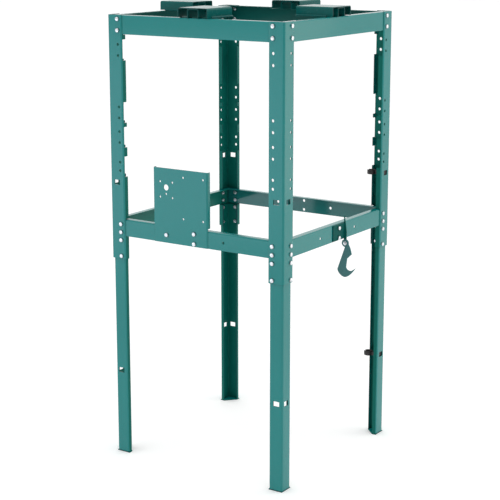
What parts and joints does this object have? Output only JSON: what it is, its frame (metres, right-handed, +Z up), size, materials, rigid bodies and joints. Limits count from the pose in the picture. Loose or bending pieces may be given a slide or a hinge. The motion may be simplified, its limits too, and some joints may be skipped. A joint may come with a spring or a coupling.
{
  "type": "machine stand",
  "caption": "Tall square stand of bolt-together lipped-angle legs and sheet rails, with top brackets for a machine, a switch plate, a swinging hook and cable clips.",
  "frame": {"origin": "on the floor, at the centre of the overall outline, which is 21.9 mm to the right of the centre of the four legs because the hook reaches past the right legs", "axes": "+Z up, -Y the front with the switch plate, +X the right side with the hook"},
  "size_m": [0.8054, 0.7616, 1.684],
  "materials": {
    "green_enamel": "gloss",
    "zinc": "bright",
    "black_plastic": "satin"
  },
  "bodies": {
    "frame": {"front_right_upper_leg": "green_enamel", "front_right_lower_leg": "green_enamel", "front_right_foot_plate": "green_enamel", "back_right_upper_leg": "green_enamel", "back_right_lower_leg": "green_enamel", "back_right_foot_plate": "green_enamel", "back_left_upper_leg": "green_enamel", "back_left_lower_leg": "green_enamel", "back_left_foot_plate": "green_enamel", "front_left_upper_leg": "green_enamel", "front_left_lower_leg": "green_enamel", "front_left_foot_plate": "green_enamel", "front_top_rail": "green_enamel", "front_middle_rail": "green_enamel", "front_support_bracket": "green_enamel", "front_support_stiffener": "green_enamel", "right_top_rail": "green_enamel", "right_middle_rail": "green_enamel", "right_support_bracket": "green_enamel", "right_support_stiffener": "green_enamel", "back_top_rail": "green_enamel", "back_middle_rail": "green_enamel", "back_support_bracket": "green_enamel", "back_support_stiffener": "green_enamel", "left_top_rail": "green_enamel", "left_middle_rail": "green_enamel", "left_support_bracket": "green_enamel", "left_support_stiffener": "green_enamel", "switch_plate": "green_enamel", "hook_bracket": "green_enamel", "hook_pivot_rivet": "zinc", "bracket_bolt_upper": "zinc", "bracket_bolt_lower": "zinc", "plate_bolt_side": "zinc", "plate_bolt_upper": "zinc", "plate_bolt_lower": "zinc", "front_right_leg_bolt_front": "zinc", "front_right_leg_bolt_right": "zinc", "back_right_leg_bolt_right": "zinc", "back_right_leg_bolt_back": "zinc", "back_left_leg_bolt_back": "zinc", "back_left_leg_bolt_left": "zinc", "front_left_leg_bolt_left": "zinc", "front_left_leg_bolt_front": "zinc", "bracket_nut_upper": "zinc", "bracket_nut_lower": "zinc", "plate_nut_side": "zinc", "plate_nut_upper": "zinc", "plate_nut_lower": "zinc", "front_right_leg_nut_front": "zinc", "front_right_leg_nut_right": "zinc", "back_right_leg_nut_right": "zinc", "back_right_leg_nut_back": "zinc", "back_left_leg_nut_back": "zinc", "back_left_leg_nut_left": "zinc", "front_left_leg_nut_left": "zinc", "front_left_leg_nut_front": "zinc", "cable_clip_upper": "black_plastic", "cable_clip_lower": "black_plastic"},
    "hook": {"hook": "green_enamel"}
  },
  "joints": [
    {"name": "hook_swing", "type": "hinge", "parent": "frame", "child": "hook", "pos_m": [0.3581, 0.03845, 0.828], "axis": [0, 1, 0], "range_deg": [-60, 60]}
  ]
}
